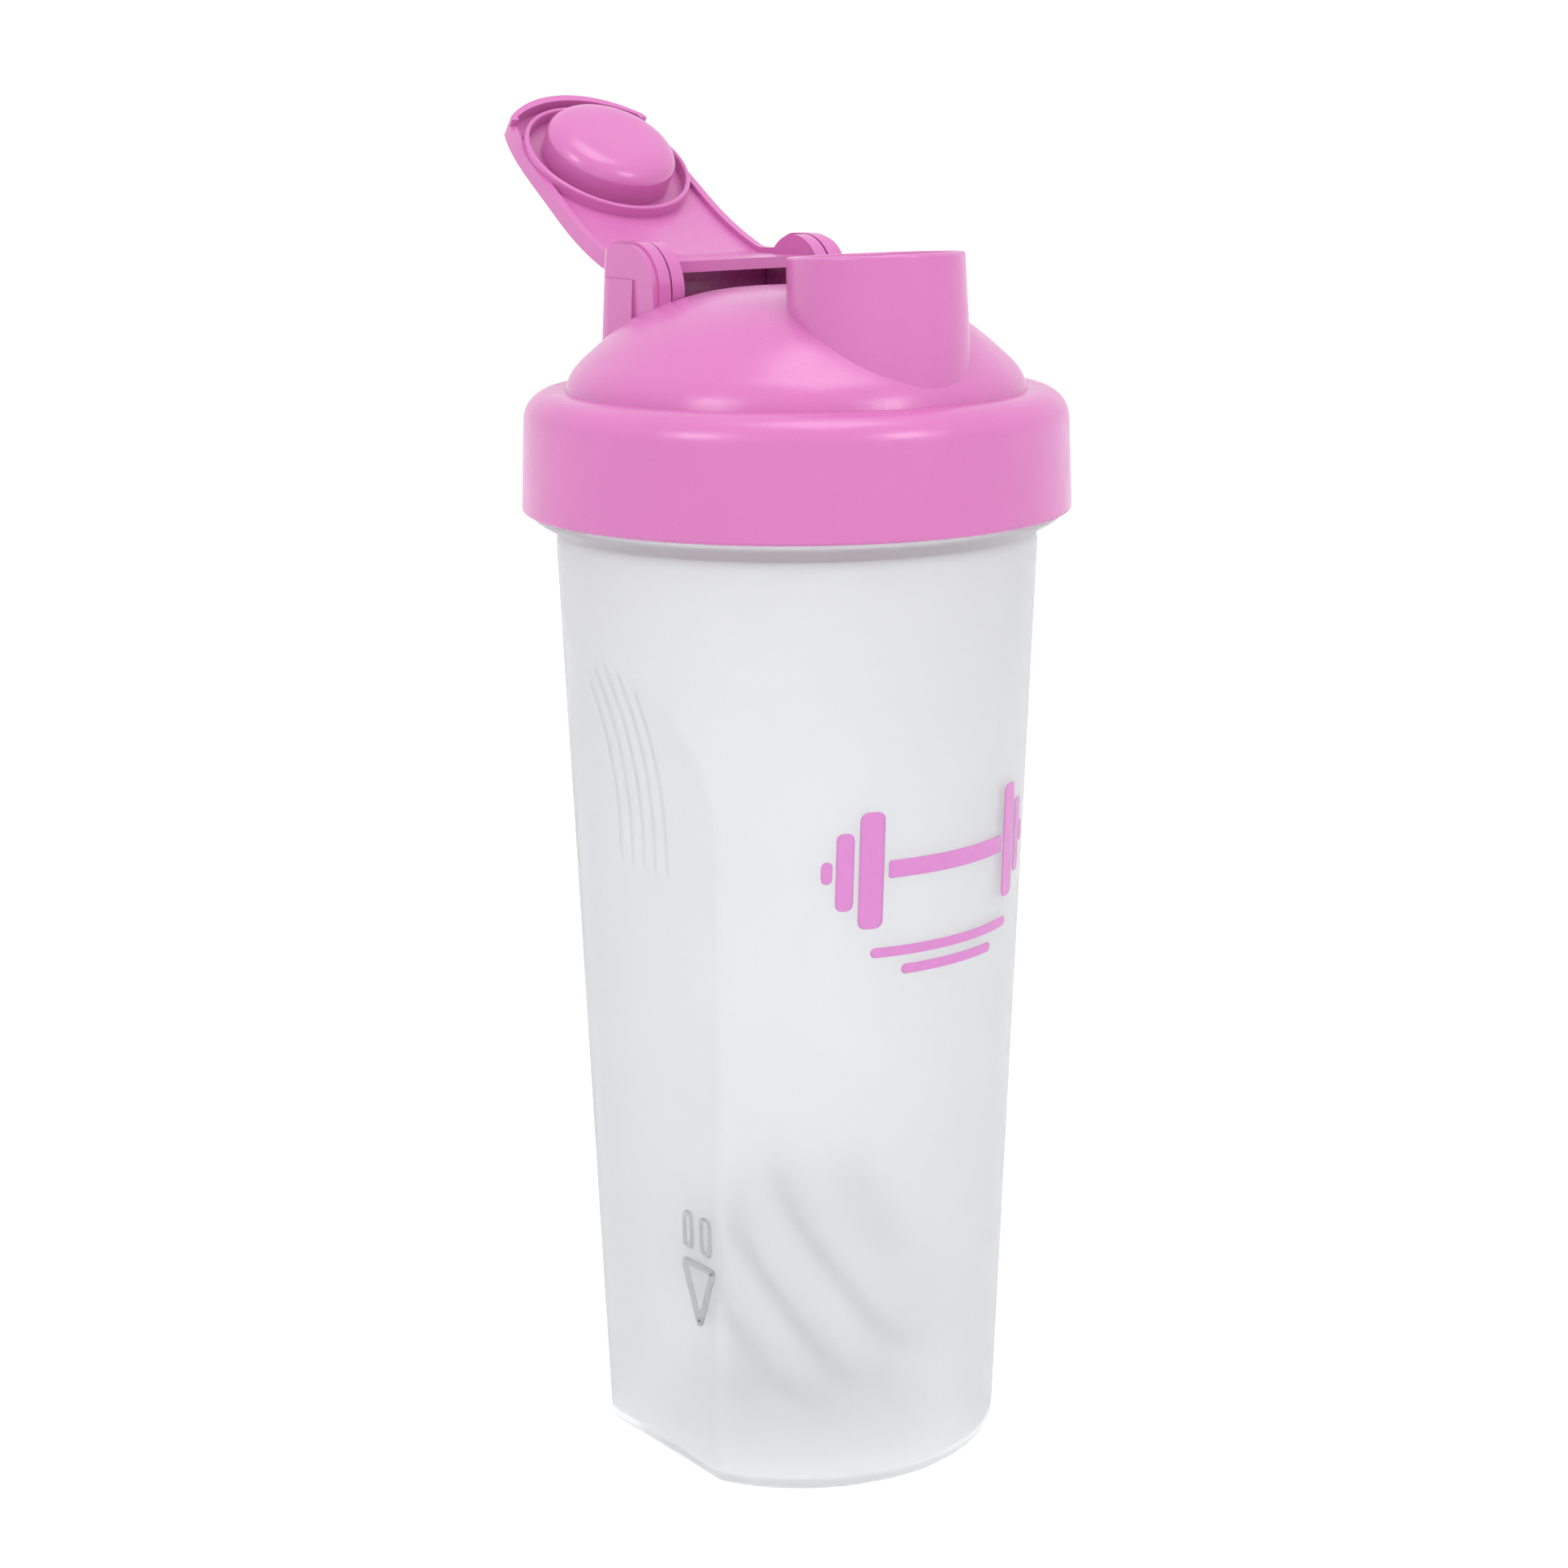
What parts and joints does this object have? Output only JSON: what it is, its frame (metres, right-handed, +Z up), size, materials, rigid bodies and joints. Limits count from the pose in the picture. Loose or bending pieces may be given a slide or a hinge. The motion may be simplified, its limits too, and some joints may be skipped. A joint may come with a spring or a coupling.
{
  "type": "protein shaker bottle",
  "caption": "Protein shaker bottle: tapered translucent cup with grip flats, screw lid with open spout and hinged flip cap, and a loose wire mixing ball inside.",
  "frame": {"origin": "centre of the cup's foot on the surface it stands on", "axes": "+Z up along the cup's axis, +X towards the spout, the flip cap's hinge is on the -X side"},
  "size_m": [0.1271, 0.099, 0.2481],
  "materials": {
    "cup_plastic": "frosted translucent natural polypropylene",
    "lid_plastic": "semi-gloss pink polypropylene",
    "cap_plastic": "semi-gloss pink polypropylene",
    "plug_plastic": "semi-gloss pink, slightly softer",
    "seal_silicone": "translucent silicone",
    "wire_steel": "bright drawn stainless wire"
  },
  "bodies": {
    "cup": {"cup": "cup_plastic"},
    "seal": {"lid_seal": "seal_silicone"},
    "lid": {"lid": "lid_plastic"},
    "cap": {"flip_cap": "cap_plastic", "spout_plug": "plug_plastic"},
    "mixing_ball": {"mixing_ball": "wire_steel"}
  },
  "joints": [
    {"name": "lid_lift", "type": "slide", "parent": "cup", "child": "seal", "axis": [0, 0, 1], "range_m": [0, 0.0121]},
    {"name": "lid_turn", "type": "hinge", "parent": "seal", "child": "lid", "pos_m": [0, 0, 0.19], "axis": [0, 0, 1], "range_deg": [0, 720]},
    {"name": "cap_hinge", "type": "hinge", "parent": "lid", "child": "cap", "pos_m": [-0.0211, 0, 0.2146], "axis": [0, -1, 0], "range_deg": [-143, 0]},
    {"name": "ball_travel", "type": "slide", "parent": "cup", "child": "mixing_ball", "axis": [0, 0, 1], "range_m": [0, 0.12]}
  ],
  "couplings": [
    {"joint": "lid_lift", "follows": "lid_turn", "m_per_rad": 0.00095493}
  ]
}
